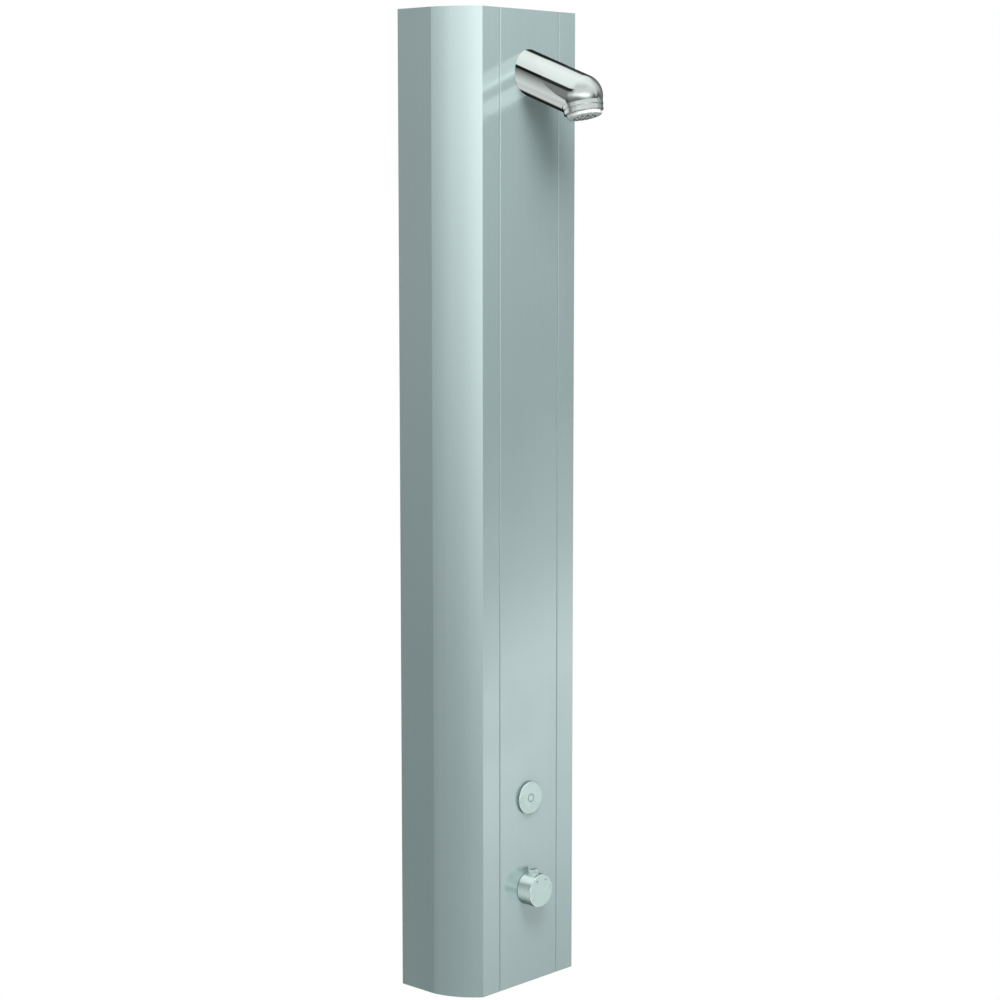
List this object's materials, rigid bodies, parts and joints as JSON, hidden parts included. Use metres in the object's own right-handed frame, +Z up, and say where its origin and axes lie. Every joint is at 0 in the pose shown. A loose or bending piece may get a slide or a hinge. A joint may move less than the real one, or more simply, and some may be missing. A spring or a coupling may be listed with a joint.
{
  "type": "shower panel",
  "caption": "Tall wall-mounted shower panel with a tilted cylindrical head, a start button and a thermostatic knob, on an aluminium body with convex wings.",
  "frame": {"origin": "centre of the four wall screws, on the wall plane, half-way up the panel", "axes": "+Z up, +X to the right seen from the front, -Y out of the wall"},
  "size_m": [0.226, 0.2195, 1.2],
  "materials": {
    "anodised_profile": "satin anodised aluminium, fine lengthwise grain",
    "anodised_front": "satin anodised aluminium plate, fine lengthwise grain",
    "stainless_fixings": "plain stainless steel",
    "galvanised_bracket": "zinc-plated sheet with a faint spangle",
    "polished_chrome": "polished chrome plate",
    "satin_chrome": "satin chrome plate",
    "translucent_nozzle": "translucent grey-white silicone",
    "white_plastic": "moulded acetal",
    "black_plastic": "moulded nylon",
    "grey_plastic": "moulded enclosure plastic",
    "brass_fitting": "machined and cast brass",
    "copper_pipe": "drawn copper tube",
    "dot_enamel": "grey filled marks",
    "symbol_enamel": "grey filled symbol",
    "spring_steel": "drawn spring wire",
    "hot_spindle": "red acetal spindle",
    "cold_spindle": "blue acetal spindle",
    "battery_sleeve": "plain plastic sleeve",
    "black_cable": "matt cable sheath"
  },
  "bodies": {
    "panel": {"batteries": "battery_sleeve", "bottom_cap": "anodised_profile", "bottom_wall_bracket": "galvanised_bracket", "button_housing": "black_plastic", "button_spring": "spring_steel", "button_switch": "black_plastic", "cap_screws": "stainless_fixings", "cartridge_nut": "brass_fitting", "check_retainers": "stainless_fixings", "cold_check_spring": "spring_steel", "cold_stop_valve": "brass_fitting", "control_box": "grey_plastic", "control_lid": "grey_plastic", "cross_rails": "galvanised_bracket", "equipment_rail": "galvanised_bracket", "flow_regulator": "white_plastic", "front_panel": "anodised_front", "head_barrel": "polished_chrome", "head_elbow": "brass_fitting", "head_nut": "brass_fitting", "head_ring": "polished_chrome", "head_wedge": "black_plastic", "hot_check_spring": "spring_steel", "hot_stop_valve": "brass_fitting", "internal_cables": "black_cable", "left_side_profile": "anodised_profile", "lock_ring": "polished_chrome", "mixer_body": "brass_fitting", "pipe_clips": "white_plastic", "rail_screws": "stainless_fixings", "right_side_profile": "anodised_profile", "riser_nuts": "brass_fitting", "riser_pipe": "copper_pipe", "solenoid_body": "brass_fitting", "solenoid_coil": "black_plastic", "solenoid_spring": "spring_steel", "spray_insert": "translucent_nozzle", "stop_ring": "black_plastic", "stud_nuts": "stainless_fixings", "supply_tubes": "copper_pipe", "thermostat_cartridge": "white_plastic", "top_cap": "anodised_profile", "top_wall_bracket": "galvanised_bracket", "tube_nuts": "brass_fitting"},
    "knob": {"temperature_knob": "satin_chrome", "knob_dots": "dot_enamel", "knob_screw": "stainless_fixings", "temperature_spindle": "brass_fitting", "safety_spring": "spring_steel"},
    "stop_button": {"safety_button": "satin_chrome"},
    "start_button": {"start_button": "satin_chrome", "button_symbol": "symbol_enamel"},
    "piston": {"thermostat_piston": "brass_fitting"},
    "plunger": {"solenoid_plunger": "stainless_fixings"},
    "hot_spindle": {"hot_stop_spindle": "hot_spindle"},
    "cold_spindle": {"cold_stop_spindle": "cold_spindle"},
    "hot_poppet": {"hot_check_poppet": "white_plastic"},
    "cold_poppet": {"cold_check_poppet": "white_plastic"}
  },
  "joints": [
    {"name": "knob_turn", "type": "hinge", "parent": "panel", "child": "knob", "pos_m": [0, -0.12, -0.478], "axis": [0, -1, 0], "range_deg": [-165, 75]},
    {"name": "stop_button_press", "type": "slide", "parent": "knob", "child": "stop_button", "axis": [0, 0, -1], "range_m": [0, 0.0025], "stiffness_N_per_m": 800, "springref_m": -0.001, "deforming": ["safety_spring"]},
    {"name": "start_button_press", "type": "slide", "parent": "panel", "child": "start_button", "axis": [0, 1, 0], "range_m": [0, 0.0015], "stiffness_N_per_m": 1500, "springref_m": -0.001, "deforming": ["button_spring"]},
    {"name": "piston_slide", "type": "slide", "parent": "panel", "child": "piston", "axis": [0, -1, 0], "range_m": [-0.006, 0.003]},
    {"name": "plunger_slide", "type": "slide", "parent": "panel", "child": "plunger", "axis": [-1, 0, 0], "range_m": [0, 0.002], "stiffness_N_per_m": 400, "springref_m": -0.002, "deforming": ["solenoid_spring"]},
    {"name": "hot_stop_turn", "type": "hinge", "parent": "panel", "child": "hot_spindle", "pos_m": [-0.075, -0.08, -0.53], "axis": [0, -1, 0], "range_deg": [0, 90]},
    {"name": "hot_check_slide", "type": "slide", "parent": "panel", "child": "hot_poppet", "axis": [0, -1, 0], "range_m": [0, 0.003], "stiffness_N_per_m": 150, "springref_m": -0.002, "deforming": ["hot_check_spring"]},
    {"name": "cold_stop_turn", "type": "hinge", "parent": "panel", "child": "cold_spindle", "pos_m": [0.075, -0.08, -0.53], "axis": [0, -1, 0], "range_deg": [0, 90]},
    {"name": "cold_check_slide", "type": "slide", "parent": "panel", "child": "cold_poppet", "axis": [0, -1, 0], "range_m": [0, 0.003], "stiffness_N_per_m": 150, "springref_m": -0.002, "deforming": ["cold_check_spring"]}
  ],
  "couplings": [
    {"joint": "piston_slide", "follows": "knob_turn", "m_per_rad": 0.002}
  ]
}
